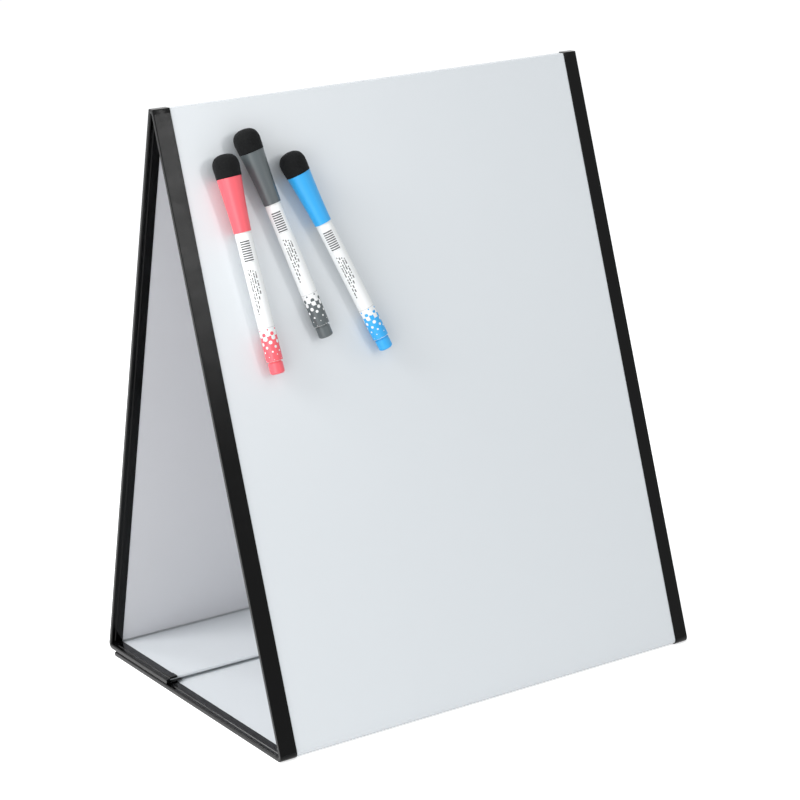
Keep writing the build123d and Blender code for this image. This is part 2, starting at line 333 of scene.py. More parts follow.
def handling_group():
    """Slow change of tone and gloss over a surface that hands and cloths have touched."""
    tree, given, out = new_group(
        "Handling", {"Color": WHITE, "Roughness": 0.0},
        {"Color": WHITE, "Roughness": 0.4, "Tone": 0.02, "Smear": 0.06, "Patches per metre": 12.0},
    )
    place = object_place(tree)
    patch = noise_value(tree, Vector=place, Scale=given["Patches per metre"], Detail=4.0)
    wiping = (1.0, 4.0, 4.0)
    streak = noise_value(
        tree, Vector=vector_maths(tree, "MULTIPLY", a=place, b=wiping),
        Scale=given["Patches per metre"], Detail=6.0, Roughness=0.6, Distortion=0.8,
    )

    def about(middle, value, amount):
        """The middle, give or take half the amount, as the noise says."""
        return plus(tree, middle, times(tree, minus(tree, value, 0.5), amount))

    tone = about(1.0, patch, given["Tone"])
    toned = vector_maths(tree, "SCALE", a=given["Color"], scale=tone)
    tree.links.new(toned, out["Color"])
    tree.links.new(about(given["Roughness"], streak, given["Smear"]), out["Roughness"])
    return tree


def edge_wear_highlight_group():
    """Rubbed edges and painted edge highlight: where the surface turns within a short distance,
    its colour goes paler, partly as wear and partly as a painted highlight on the lips.
    """
    tree, given, out = new_group(
        "Edge wear", {"Color": WHITE},
        {"Color": WHITE, "Worn": WHITE, "Reach": 0.4 * MM, "Amount": 0.6},
    )
    soft = add_node(tree, "ShaderNodeBevel", {"Radius": given["Reach"]}, samples=4).outputs[0]
    true = add_node(tree, "ShaderNodeNewGeometry").outputs["Normal"]
    agree = vector_maths(tree, "DOT_PRODUCT", "Value", a=soft, b=true)
    patch = noise_value(tree, Vector=object_place(tree), Scale=160.0, Detail=3.0)
    # Paler where the bevelled normal parts from the true one: partly wear, partly a painted edge
    # highlight.
    (flat, sharp), (untouched, rubbed) = (0.995, 0.80), (0.35, 0.70)
    turn = remap(tree, agree, flat, sharp)
    worn = times(tree, turn, remap(tree, patch, untouched, rubbed))
    amount = times(tree, worn, given["Amount"])
    tree.links.new(blend_colour(tree, amount, given["Color"], given["Worn"]), out["Color"])
    return tree


# The sleeve's print, in millimetres: from its end at the cap, to its end at the tail, and round
# it from a line at PRINT_TURN
PRINT_TURN = 2.3
HATCH_FROM_CAP, HATCH_ROUND = (4.2, 17.5), (-3.6, 2.5)
HATCH_PITCH, HATCH_FILLED = 1.45, 0.60      # filled: a share of the pitch
DASH_HALF_WIDTH = 0.38
DASHES_PER_MM = 0.62
DASH_ROWS = (                               # place round, start and end from cap, noise's shift
    (-2.7, 21.5, 50.0, 0.3), (-1.3, 21.5, 46.0, 2.1), (0.1, 22.5, 41.5, 4.7),
    (1.5, 23.5, 38.0, 7.9),
)
RING_TO_TAIL, RING_DARKNESS = (20.4, 20.7), 0.4
DOT_PITCH, DOT_SCATTER = 3.8, 0.22
DOT_SOFTNESS = 0.07
# How the dots' radius changes: from one distance to the tail to another, and from to
INK_DOT_SIZES = (20.5, 13.5, 0.30, 1.95)
WHITE_DOT_SIZES = (15.0, 2.0, 1.45, 0.20)
INK_STARTS, INK_FILLS = (20.4, 20.0), (13.4, 12.8)
PRINT_SHIFT = 13.0                          # round the sleeve, from marker to marker
SMALL_PRINT = (0.02, 0.02, 0.022, 1)


def print_group(sleeve):
    """Print of the sleeve: a hatched patch, four rows of dashes, a ring, and dots that grow
    towards the tail until they meet and only their gaps stay white. The marker's own frame has
    z along it and y away from the board."""
    tree, given, out = new_group(
        "Sleeve print", {"Color": WHITE, "Printed": 0.0},
        {"Paper": WHITE, "Ink": WHITE, "Shade": 0.9, "Shift": 0.0},
    )
    place = add_node(tree, "ShaderNodeSeparateXYZ", {0: object_place(tree)}).outputs
    low, high, radius = (value / MM for value in sleeve)
    round_mm = times(tree, maths(tree, "ARCTAN2", place["X"], place["Y"]), radius)
    from_cap = minus(tree, maths(tree, "DIVIDE", place["Z"], MM), low)
    to_tail = minus(tree, high - low, from_cap)

    def between(value, start, end, soft=0.06):
        """1 from start to end, 0 outside."""
        after = remap(tree, value, start - soft, start + soft)
        before = remap(tree, value, end + soft, end - soft)
        return times(tree, after, before)

    def stripes(value, pitch, filled):
        """Even stripes, each filled over a share of the pitch."""
        phase = maths(tree, "FRACT", maths(tree, "DIVIDE", value, pitch))
        return between(phase, 0.0, filled, 0.05)

    slant = math.sqrt(0.5)

    def dots(across, sizes):
        """Round dots in staggered rows, shifted round the sleeve."""
        moved = plus(tree, round_mm, across)
        flat = add_node(
            tree, "ShaderNodeCombineXYZ",
            {0: times(tree, plus(tree, to_tail, moved), slant),
             1: times(tree, minus(tree, to_tail, moved), slant)},
        ).outputs[0]
        cells = add_node(
            tree, "ShaderNodeTexVoronoi",
            {"Vector": flat, "Scale": 1.0 / DOT_PITCH, "Randomness": DOT_SCATTER},
            voronoi_dimensions="2D",
        )
        middle = add_node(tree, "ShaderNodeSeparateXYZ", {0: cells.outputs["Position"]}).outputs
        centre = times(tree, plus(tree, middle["X"], middle["Y"]), slant)
        away = times(tree, cells.outputs["Distance"], DOT_PITCH)
        inside = minus(tree, remap(tree, centre, *sizes), away)
        return remap(tree, inside, -DOT_SOFTNESS, DOT_SOFTNESS)

    # Hatched patch and dashes, where such a sleeve has its small print
    shown = plus(tree, round_mm, PRINT_TURN)
    patch = times(tree, between(from_cap, *HATCH_FROM_CAP), between(shown, *HATCH_ROUND))
    small = times(tree, patch, stripes(from_cap, HATCH_PITCH, HATCH_FILLED))
    for middle, start, end, shift in DASH_ROWS:
        across = between(shown, middle - DASH_HALF_WIDTH, middle + DASH_HALF_WIDTH, 0.1)
        row = times(tree, across, between(from_cap, start, end))
        dash = noise_value(tree, W=plus(tree, from_cap, shift), Scale=DASHES_PER_MM, Detail=1.0)
        dash = times(tree, row, remap(tree, dash, 0.45, 0.50))
        small = maths(tree, "MAXIMUM", small, dash)
    ring = times(tree, between(to_tail, *RING_TO_TAIL, 0.08), RING_DARKNESS)
    small = maths(tree, "MAXIMUM", small, ring)

    # Dots of ink that grow towards the tail until they meet, then white ones that shrink
    ink = dots(given["Shift"], INK_DOT_SIZES)
    ink = times(tree, ink, remap(tree, to_tail, *INK_STARTS))
    ink = maths(tree, "MAXIMUM", ink, remap(tree, to_tail, *INK_FILLS))
    gaps = dots(plus(tree, given["Shift"], DOT_PITCH * slant), WHITE_DOT_SIZES)
    ink = times(tree, ink, minus(tree, 1.0, gaps))

    shaded = times(tree, small, given["Shade"])
    marked = blend_colour(tree, shaded, given["Paper"], SMALL_PRINT)
    tree.links.new(blend_colour(tree, ink, marked, given["Ink"]), out["Color"])
    tree.links.new(maths(tree, "MAXIMUM", ink, shaded), out["Printed"])
    return tree


# ---------- materials
def use_group(tree, group, **values):
    """A group placed in a material, with its own values."""
    inputs = {key.replace("_", " "): value for key, value in values.items()}
    return add_node(tree, "ShaderNodeGroup", inputs, node_tree=group).outputs


def bumped(tree, height, distance_mm, strength=1.0, under=None):
    """A normal bumped by a height."""
    inputs = {"Height": height, "Distance": distance_mm * MM, "Strength": strength}
    if under is not None:
        inputs["Normal"] = under
    return add_node(tree, "ShaderNodeBump", inputs).outputs[0]


def new_material(name, **shader_values):
    """A material with the Principled shader's own values set on its sockets."""
    material = bpy.data.materials.new(name)
    material.use_nodes = True
    tree = material.node_tree
    shader = next(node for node in tree.nodes if node.type == "BSDF_PRINCIPLED")
    for key, value in shader_values.items():
        shader.inputs[key.replace("_", " ")].default_value = value
    return material, tree, shader


def connect(shader, **sockets):
    """Links sockets to the shader's inputs."""
    for key, socket in sockets.items():
        shader.id_data.links.new(socket, shader.inputs[key.replace("_", " ")])


class Finishes:
    """Every material of the easel, made once, by the record's slot names."""

    def __init__(self, scene):
        self.film_look = scene.easel_film
        self.edge_look = scene.easel_edging
        self.marker_look = scene.easel_marker
        self.grain = grain_group()
        self.handling = handling_group()
        self.edges = edge_wear_highlight_group()
        self.by_slot = {
            "white_film": self.film("Writing film", self.film_look.film),
            # A copy of the writing film with the painted shade tint, for the films inside the
            # tent.
            SHADE_TINTED_FILM: self.film("Inner film", self.film_look.inner_film),
            "grey_board": self.fibrous(
                "Grey board", self.film_look.board, (1400.0, 0.7, (0.35, 1, 2.5)),
                darkest=0.72, bump_mm=0.08, dullness=0.95, tones=(0.35, 0.65),
            ),
            "steel_sheet": self.steel(),
            "black_edging": self.edging(),
            "magnet_strip": self.fibrous(
                "Flexible magnet", self.film_look.magnet, (1100.0, 0.5, (0.04, 1, 1)),
                darkest=0.6, bump_mm=0.04, dullness=0.8,
            ),
            "black_felt": self.felt(),
            "plated_magnet": self.plated(),
            "white_barrel": self.plastic("White barrel", self.marker_look.barrel, 0.30),
        }
        self.sleeve_print = print_group(marker_axes("red").span("red_label"))
        for order, name in enumerate(COLOURS):
            ink = getattr(self.marker_look, name)
            self.by_slot[f"{name}_plastic"] = self.plastic(f"{name} plastic", ink, 0.33)
            self.by_slot[f"{name}_ink"] = self.fibrous(
                f"{name} ink fibre", ink, (3000.0, 0.6, (1, 0.25, 0.08)),
                darkest=0.45, bump_mm=0.06, dullness=0.7,
            )
            self.by_slot[f"{name}_print"] = self.printed(f"{name} sleeve", ink, order)

    def grained(self, tree, per_metre, roughness, stretch=(1.0, 1.0, 1.0)):
        """The height of a fine grain."""
        return use_group(
            tree, self.grain, Grains_per_metre=per_metre, Stretch=stretch, Roughness=roughness
        )["Height"]

    def touched(self, name, rgb, roughness, tone, smear, patches, **shader_values):
        """A new material whose tone and gloss vary slowly, in so many patches a metre."""
        material, tree, shader = new_material(name, **shader_values)
        handled = use_group(
            tree, self.handling, Color=solid(rgb), Roughness=roughness, Tone=tone, Smear=smear,
            Patches_per_metre=patches,
        )
        connect(shader, Base_Color=handled["Color"], Roughness=handled["Roughness"])
        return material, tree, shader

    def wear(self, tree, shader, rgb, reach_mm, amount):
        """Pales a material's edges to another colour, within so far of a corner: partly rubbed
        wear, partly a painted edge highlight.
        """
        colour_now = shader.inputs["Base Color"].links[0].from_socket
        worn = use_group(
            tree, self.edges, Color=colour_now, Worn=solid(rgb), Reach=reach_mm * MM,
            Amount=amount,
        )
        connect(shader, Base_Color=worn["Color"])

    def film(self, name, rgb):
        """Satin white film: a faint orange peel, and gloss a hair uneven from wiping."""
        material, tree, shader = self.touched(
            name, rgb, self.film_look.film_roughness, tone=0.012, smear=0.004, patches=9.0,
            Specular_IOR_Level=0.5,
        )
        peel = self.grained(tree, 620.0, 0.35)
        connect(shader, Normal=bumped(tree, peel, 0.02, 0.35))
        return material

    def fibrous(self, name, rgb, grain, darkest, bump_mm, dullness, tones=(0.0, 1.0)):
        """A dull material of darker and paler fibres or lines."""
        material, tree, shader = new_material(name, Roughness=dullness)
        fibre = self.grained(tree, *grain)
        dark = solid(value * darkest for value in rgb)
        mixed = blend_colour(tree, remap(tree, fibre, *tones), dark, solid(rgb))
        connect(shader, Base_Color=mixed, Normal=bumped(tree, fibre, bump_mm))
        return material

    def steel(self):
        """Thin rolled sheet, its grain along the roll."""
        material, tree, shader = self.touched(
            "Thin steel sheet", self.film_look.steel, 0.36, tone=0.08, smear=0.14, patches=24.0,
            Metallic=1.0,
        )
        rolled = self.grained(tree, 900.0, 0.6, (1, 0.03, 0.03))
        connect(shader, Normal=bumped(tree, rolled, 0.01, 0.5))
        return material

    def edging(self):
        """Satin black vinyl: fine pebbled grain, a slow wave, and paler edges that are partly
        rubbed and partly a painted highlight.
        """
        look = self.edge_look
        material, tree, shader = self.touched(
            "Black edging", look.black, look.roughness, tone=0.5, smear=0.16, patches=26.0,
            Specular_Tint=(0.22, 0.22, 0.22, 1.0),
        )
        # Paler edges: partly rubbed wear, partly a painted highlight along the lips.
        self.wear(tree, shader, look.worn, reach_mm=0.5, amount=0.5)
        pebble = self.grained(tree, 1500.0, 0.55)
        waved = bumped(tree, self.grained(tree, 55.0, 0.3, (1, 0.6, 0.6)), 0.6, 0.4)
        connect(shader, Normal=bumped(tree, pebble, 0.05, 0.55, waved))
        return material

    def felt(self):
        """Pressed black felt: matted fibres with a soft sheen and a little pale lint."""
        look = self.marker_look
        material, tree, shader = new_material(
            "Black felt", Roughness=1.0, Specular_IOR_Level=0.12, Sheen_Weight=0.16,
            Sheen_Roughness=0.45, Sheen_Tint=(0.30, 0.30, 0.32, 1.0),
        )
        mat = self.grained(tree, 1700.0, 0.75)
        strand = self.grained(tree, 3200.0, 0.6, (0.3, 1.0, 1.4))
        pale, lint_grey = solid(value * 2.6 for value in look.felt), (0.10, 0.10, 0.11, 1)
        mixed = blend_colour(tree, remap(tree, strand, 0.42, 0.66), solid(look.felt), pale)
        lint = remap(tree, mat, 0.70, 0.76, 0.0, 0.5)
        linted = blend_colour(tree, lint, mixed, lint_grey)
        rough = bumped(tree, mat, 0.22)
        connect(shader, Base_Color=linted, Normal=bumped(tree, strand, 0.10, 1.0, rough))
        return material

    def plated(self):
        """Nickel plate on the cap's magnet."""
        return self.touched(
            "Nickel plate", (0.63, 0.61, 0.57), 0.16, tone=0.06, smear=0.10, patches=180.0,
            Metallic=1.0,
        )[0]

    def plastic(self, name, rgb, roughness):
        """Moulded plastic: satin, a fine mould grain, edges a shade paler, partly as wear and
        partly as a painted highlight.
        """
        material, tree, shader = self.touched(
            name, rgb, roughness, tone=0.06, smear=0.10, patches=90.0,
            Specular_IOR_Level=0.45, Coat_Weight=0.12, Coat_Roughness=0.18,
        )
        paler = (value + (1.0 - value) * 0.25 for value in rgb)
        # Paler edges: partly wear, partly a painted edge highlight.
        self.wear(tree, shader, paler, reach_mm=0.3, amount=0.45)
        connect(shader, Normal=bumped(tree, self.grained(tree, 2600.0, 0.5), 0.012, 0.4))
        return material

    def printed(self, name, rgb, order):
        """The sleeve: glossy white film with its print raised a hair."""
        material, tree, shader = self.touched(
            name, rgb, 0.26, tone=0.03, smear=0.08, patches=110.0, Specular_IOR_Level=0.5
        )
        marks = use_group(
            tree, self.sleeve_print, Paper=solid(self.marker_look.paper), Ink=solid(rgb),
            Shift=PRINT_SHIFT * order,
        )
        touched = shader.inputs["Base Color"].links[0].from_node
        tree.links.new(marks["Color"], touched.inputs["Color"])
        grain = self.grained(tree, 1200.0, 0.4)
        lifted = bumped(tree, marks["Printed"], 0.01, 0.6)
        connect(shader, Normal=bumped(tree, grain, 0.02, 0.3, lifted))
        return material


@functools.cache
def finishes():
    """The one set of finishes, by slot."""
    return Finishes(bpy.context.scene).by_slot


def dress(*slots):
    """Gives the model's own nodes the material of their slot."""
    nodes = [node for node, slot in SLOT_OF.items() if slot in slots]
    if not nodes:
        raise RuntimeError(f"no node of the model has the slots {slots}")
    for node in nodes:
        materials = frame["nodes"][node].data.materials
        materials.clear()
        # The films inside the tent get the copy with the painted shade tint.
        materials.append(finishes()[SHADE_TINTED_FILM if node in INSIDE_FILMS else SLOT_OF[node]])


# ---------- meshes
SMOOTH_UP_TO = math.radians(35)


def new_object(name, data):
    """An object in the scene."""
    made = bpy.data.objects.new(name, data)
    bpy.context.scene.collection.objects.link(made)
    return made


def mesh_piece(name, points, faces, slot, place=Matrix()):
    """A smooth mesh object with its slot's material."""
    mesh = bpy.data.meshes.new(name)
    mesh.from_pydata([tuple(point) for point in points], [], faces)
    mesh.validate()
    with editing(mesh) as shaped:
        bmesh.ops.recalc_face_normals(shaped, faces=shaped.faces)
    mesh.polygons.foreach_set("use_smooth", [True] * len(mesh.polygons))
    mesh.materials.append(finishes()[slot])
    piece = new_object(name, mesh)
    piece.matrix_world = place
    return piece


def faces_between(row, after):
    """Faces between two rings of point numbers, or between a ring and a single point."""
    count = max(len(row), len(after))
    faces = []
    for step in range(count if count > 1 else 0):
        following = (step + 1) % count
        corners = [row[step % len(row)], row[following % len(row)],
                   after[following % len(after)], after[step % len(after)]]
        faces.append(tuple(dict.fromkeys(corners)))
    return faces


@contextlib.contextmanager
def editing(mesh):
    """The mesh as a bmesh, written back at the end."""
    shaped = bmesh.new()
    shaped.from_mesh(mesh)
    yield shaped
    shaped.to_mesh(mesh)
    shaped.free()


def keep_corners(piece):
    """Smooth shading that stops at the corners."""
    with editing(piece.data) as shaped:
        for edge in shaped.edges:
            if len(edge.link_faces) == 2:
                edge.smooth = edge.calc_face_angle() < SMOOTH_UP_TO


# ---------- folds
STRIP = ("foot", "ridge", "heel")
MITRE_SHARPNESS = 24        # of the flat top's corners
NEAR_CORNER = (-0.10, -0.05, -0.02, 0.02, 0.05, 0.10)   # radians, where stations are added
LAP_STEPS = 4
LAP_SINK = 2.6              # how fast a lap's end goes down into its panel
EASE_STEPS = 4              # round a section's corner


class Fold:
    """One fold line, between the panel that comes in to it and the one that goes out."""

    def __init__(self, name):
        lines = [Vector(JOINTS[f"{fold}_hinge"]["pos_m"]) for fold in STRIP]
        runs = [
            Vector((0, -1, 0)),
            (lines[1] - lines[0]).normalized(),
            (lines[2] - lines[1]).normalized(),
            Vector((0, -1, 0)),
        ]
        order = STRIP.index(name)
        joint = JOINTS[f"{name}_hinge"]
        self.name = name
        self.bodies = (joint["parent"], joint["child"])
        self.turn = math.radians(max(abs(value) for value in joint["range_deg"]))
        self.line = lines[order]
        self.run_in, self.run_out = runs[order], runs[order + 1]
        self.out_in, self.out_out = self.outward(self.run_in), self.outward(self.run_out)
        self.angle = self.out_in.angle(self.out_out)

    @staticmethod
    def outward(run):
        """A panel's outside, a quarter turn from the way the strip runs."""
        return Vector((0, -run.z, run.y))

    def squared(self, turn, flat_top):
        """How much farther out a mitred fold with a flat top reaches than a round one."""
        sides = (
            math.cos(turn), math.cos(turn - self.angle / 2) / flat_top, math.cos(self.angle - turn)
        )
        return sum(max(side, 0.0) ** MITRE_SHARPNESS for side in sides) ** (-1 / MITRE_SHARPNESS)

    def turns(self, steps, flat_top):
        """How far round the stations stand, closer together at a flat top's two corners."""
        places = [self.angle * step / steps for step in range(steps + 1)]
        if flat_top:
            half = self.angle / 2
            corner = math.atan((flat_top - math.cos(half)) / math.sin(half))
            for place in (corner, self.angle - corner):
                places += [place + shift for shift in NEAR_CORNER]
        return sorted(places)

    def path(self, lap, steps, flat_top):
        """Stations over the fold: (foot point, outward, share of the lap passed)."""
        shares = [step / LAP_STEPS for step in range(1, LAP_STEPS + 1)]
        stations = [(self.line - self.run_in * lap * share, self.out_in, share)
                    for share in reversed(shares)]
        for turn in self.turns(steps, flat_top):
            outward = self.out_in * math.cos(turn) + self.run_in * math.sin(turn)
            if flat_top:
                outward *= self.squared(turn, flat_top)
            stations.append((self.line, outward, 0.0))
        return stations + [(self.line + self.run_out * lap * share, self.out_out, share)
                           for share in shares]

    def bend(self, piece):
        """Bakes the piece's place into its mesh."""
        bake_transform(piece)


def swept(name, fold, section, slot, look):
    """A closed section, (x, distance out) for a given swell, carried over a fold."""
    points, rows = [], []
    flat_top = look.flat_top if fold.name == "ridge" else 0.0
    for foot, outward, passed in fold.path(look.lap, look.arc_steps, flat_top):
        swell = look.proud * (1.0 - LAP_SINK * passed * passed)
        ring = section(swell)
        rows.append(tuple(range(len(points), len(points) + len(ring))))
        points += [foot + Vector((x, 0, 0)) + outward * out for x, out in ring]
    faces = [face for pair in zip(rows, rows[1:]) for face in faces_between(*pair)]
    piece = mesh_piece(name, points, faces + [rows[0], rows[-1]], slot)
    keep_corners(piece)
    return piece


def eased(corners):
    """A closed outline's points, its (x, y, radius) corners rounded."""
    outline = []
    for index, (x, y, radius) in enumerate(corners):
        corner = Vector((x, y))
        if not radius:
            outline.append(corner)
            continue
        before = (Vector(corners[index - 1][:2]) - corner).normalized()
        after = (Vector(corners[(index + 1) % len(corners)][:2]) - corner).normalized()
        half = before.angle(after) / 2
        centre = corner + (before + after).normalized() * (radius / math.sin(half))
        reach = radius / math.tan(half)
        first, last = (corner + way * reach - centre for way in (before, after))
        for step in range(EASE_STEPS + 1):
            outline.append(centre + first.slerp(last, step / EASE_STEPS).normalized() * radius)
    return outline


def edging_section(look, side):
    """The edging's U-section: square outside the tent, pinched along its edge inside it.
    side is -1 on the left edge and 1 on the right."""
    low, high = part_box("front_trim_left" if side < 0 else "front_trim_right")
    edge = max(abs(low.x), abs(high.x))
    outer_flange = high.x - low.x
    grip = look.depth - look.wall
    nearest = 0.02 * MM     # to the fold line, so that no point falls on it

    def section(swell):
        outline = eased([
            (-swell, look.depth + swell, look.corner),
            (outer_flange + swell, look.depth + swell, look.lip),
            (outer_flange + swell, grip, 0),
            (look.web, grip, 0),
            (look.web, look.wall, 0),
            (look.inner_flange + swell, look.wall, 0),
            (look.inner_flange + swell, 0, look.lip),
            (look.shoulder, 0, 0),
            (look.shoulder - look.slope, look.pinch, 0),
            (-swell, look.pinch, look.nose),
        ])
        return [(side * (edge - inward), max(out, nearest)) for inward, out in outline]

    return section


def film_section(look):
    """The welded film across the whole board."""
    low, high = (corner.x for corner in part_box("front_writing_film"))

    def section(swell):
        outside = look.depth - look.wall + swell
        inside = look.depth - look.wall - look.weld
        return [(low, inside), (high, inside), (high, outside), (low, outside)]

    return section


# ---------- markers
class MarkerAxes:
    """A marker's own frame: origin at its top, z along it to the tail, y off the board."""

    def __init__(self, name):
        along = Vector(JOINTS[f"{name}_uncap"]["axis"]).normalized()
        off = Vector(JOINTS[f"{name}_lift"]["axis"])
        off = (off - along * off.dot(along)).normalized()
        self.place = Matrix((off.cross(along), off, along)).transposed().to_4x4()
        barrel = self.points(f"{name}_barrel")
        middle = [
            (min(point[axis] for point in barrel) + max(point[axis] for point in barrel)) / 2
            for axis in (0, 1)
        ]
        top = self.span(f"{name}_eraser")[0]
        self.place @= Matrix.Translation((*middle, top))

    def points(self, node):
        """A node's points in the marker's frame."""
        back = self.place.inverted()
        return [back @ vertex.co for vertex in frame["nodes"][node].data.vertices]

    def span(self, node):
        """Where a node starts and ends along the marker, and its largest radius."""
        points = self.points(node)
        radius = max(math.hypot(point.x, point.y) for point in points)
        return min(point.z for point in points), max(point.z for point in points), radius


@functools.cache
def marker_axes(name):
    """A marker's frame, worked out once."""
    return MarkerAxes(name)


def bezier(points, steps):
    """Points on a cubic curve with these four control points."""
    curve = []
    for step in range(steps + 1):
        t = step / steps
        u = 1.0 - t
        weights = (u ** 3, 3 * u * u * t, 3 * u * t * t, t ** 3)
        curve.append(tuple(
            sum(weight * point[axis] for weight, point in zip(weights, points)) for axis in (0, 1)
        ))
    return curve


def through(*points, steps):
    """Points on the parabola through three (radius, along) points."""
    start, end = points[0][1], points[2][1]
    curve = []
    for step in range(steps + 1):
        along = start + (end - start) * step / steps
        radius = 0.0
        for index, (here, place) in enumerate(points):
            one, other = (point[1] for point in points[:index] + points[index + 1:])
            radius += here * (along - one) * (along - other) / (place - one) / (place - other)
        curve.append((radius, along))
    return curve


def lathe(name, outline, slot, axes, segments, rim=0.0):
    """A turned solid from a closed (radius, along) outline, its corners eased by rim."""
    points, rows = [], []
    for radius, along in outline:
        if not radius:
            rows.append([len(points)])
            points.append((0.0, 0.0, along))
            continue
        rows.append([len(points) + step for step in range(segments)])
        for step in range(segments):
            turn = math.tau * step / segments
            points.append((radius * math.cos(turn), radius * math.sin(turn), along))
    faces = []
    for row, after in zip(rows, rows[1:] + rows[:1]):
        faces += faces_between(row, after)
    piece = mesh_piece(name, points, faces, slot, axes.place)
    if rim:
        ease = piece.modifiers.new("Eased corners", "BEVEL")
        ease.width, ease.segments, ease.harden_normals = rim, 3, True
        ease.limit_method, ease.angle_limit = "ANGLE", math.radians(38)
    return piece


def ride_for(piece, body, *nodes):
    """Rides on a body in place of these nodes of the model."""
    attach(piece, body)
    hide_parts(*nodes)


def felt_dome(name, look):
    """The eraser: a squarish dome of felt, its surface matted and uneven."""
    axes = marker_axes(name)
    low, high, radius = axes.span(f"{name}_eraser")
    dome_height, hole, hole_depth = 8.0 * MM, 5.25 * MM, 4.95 * MM
    widest = low + dome_height
    foot = radius - 0.55 * MM
    flatness, squareness = 0.72, 0.38
    dome = bezier((
        (0.0, low), (radius * flatness, low), (radius, low + dome_height * squareness),
        (radius, widest),
    ), 30)
    steps = 14
    side = [(radius + (foot - radius) * step / steps, widest + (high - widest) * step / steps)
            for step in range(1, steps)]
    roof = high - hole_depth
    under = [(foot, high), (foot * 0.8, high), (hole, high), (hole, roof), (0.0, roof)]
    piece = lathe(
        f"{name}_felt_eraser", dome + side + under, "black_felt", axes, 2 * look.segments
    )
    seed = Vector((11.0, 5.0, 3.0)) * (1 + COLOURS.index(name))
    clumps_per_metre, tufts_per_metre, clump_share, sunk = 420.0, 1700.0, 0.45, 0.35
    for vertex in piece.data.vertices:
        point = vertex.co
        if math.hypot(point.x, point.y) < foot * 0.75 and point.z > widest:
            continue    # in the hole or beside it, where it sits on the cap
        clumps = noise.noise(point * clumps_per_metre + seed)
        tufts = noise.noise(point * tufts_per_metre + seed)
        height = clump_share * clumps + (1 - clump_share) * tufts - sunk
        vertex.co = point + vertex.normal * look.fuzz * height
    ride_for(piece, f"{name}_cap_set", f"{name}_eraser")


def cap_shell(name, look):
    """The cap: a flared shell, its mouth and shoulder rounded."""
    axes = marker_axes(name)
    boss_top, mouth, shoulder_radius = axes.span(f"{name}_cap")
    wall, roof_thickness, roof_thickening = 1.15 * MM, 1.6 * MM, 0.1 * MM
    waist_radius, waist_drop, mouth_radius = 6.41 * MM, 15.2 * MM, 5.4 * MM
    boss, boss_height = 5.2 * MM, 4.9 * MM
    pocket, pocket_depth = 4.05 * MM, 3.1 * MM
    start = boss_top + boss_height
    waist, roof, floor = start + waist_drop, start + roof_thickness, boss_top + pocket_depth
    outer = through(
        (shoulder_radius, start), (waist_radius, waist), (mouth_radius, mouth), steps=22
    )
    inner = through(
        (mouth_radius - wall, mouth), (waist_radius - wall, waist),
        (shoulder_radius - wall - roof_thickening, roof), steps=14,
    )
    outline = outer + inner + [
        (0.0, roof), (0.0, floor), (pocket, floor), (pocket, boss_top), (boss, boss_top),
        (boss, start),
    ]
    piece = lathe(f"{name}_cap_shell", outline, f"{name}_plastic", axes, look.segments, look.rim)
    ride_for(piece, f"{name}_cap_set", f"{name}_cap")


def sleeve(name, look):
    """The printed sleeve, shrunk on the barrel with soft ends."""
    axes = marker_axes(name)
    low, high, radius = axes.span(f"{name}_label")
    bore, soft, steps = radius - 0.15 * MM, 0.5 * MM, 8
    end_radius = radius - 0.06 * MM
    outline = [(bore, low), (end_radius, low), (radius, low + soft)]
    outline += [(radius, low + soft + (high - low - 2 * soft) * step / steps)
                for step in range(1, steps)]
    outline += [(radius, high - soft), (end_radius, high), (bore, high)]
    piece = lathe(f"{name}_sleeve", outline, f"{name}_print", axes, look.segments)
    keep_corners(piece)
    ride_for(piece, f"{name}_pen", f"{name}_label")


def plug(name, look):
    """The end plug on its narrow neck, all edges rounded."""
    axes = marker_axes(name)
    spigot_start, tail, radius = axes.span(f"{name}_end_plug")
    spigot, spigot_length, neck, chamfer = 3.95 * MM, 9.0 * MM, 1.1 * MM, 0.8 * MM
    neck_end = spigot_start + spigot_length + neck
    outline = [
        (0.0, spigot_start), (spigot, spigot_start), (spigot, neck_end), (radius, neck_end),
        (radius, tail - chamfer), (radius - chamfer, tail), (0.0, tail),
    ]
    piece = lathe(f"{name}_tail_plug", outline, f"{name}_plastic", axes, look.segments, look.rim)
    ride_for(piece, f"{name}_pen", f"{name}_end_plug")


# ---------- stage
SEEN_GLOW = 0.60        # of the floor, where it is seen


def seen_white(tree):
    """1 for rays from the camera, or off gloss or through glass, which see white."""
    light = add_node(tree, "ShaderNodeLightPath").outputs
    seen = plus(tree, light["Is Camera Ray"], light["Is Glossy Ray"])
    seen = plus(tree, seen, light["Is Transmission Ray"])
    return maths(tree, "MINIMUM", seen, 1.0)


def white_world(look):
    """Soft light from all round, white where it is seen."""
    world = bpy.data.worlds.new("White studio")
    bpy.context.scene.world = world
    world.use_nodes = True
    tree = world.node_tree
    background = next(node for node in tree.nodes if node.type == "BACKGROUND")
    seen = seen_white(tree)
    tint = blend_colour(tree, seen, solid(look.sky), WHITE)
    tree.links.new(tint, background.inputs["Color"])
    tree.links.new(remap(tree, seen, 0, 1, look.sky_level, 1.0), background.inputs["Strength"])


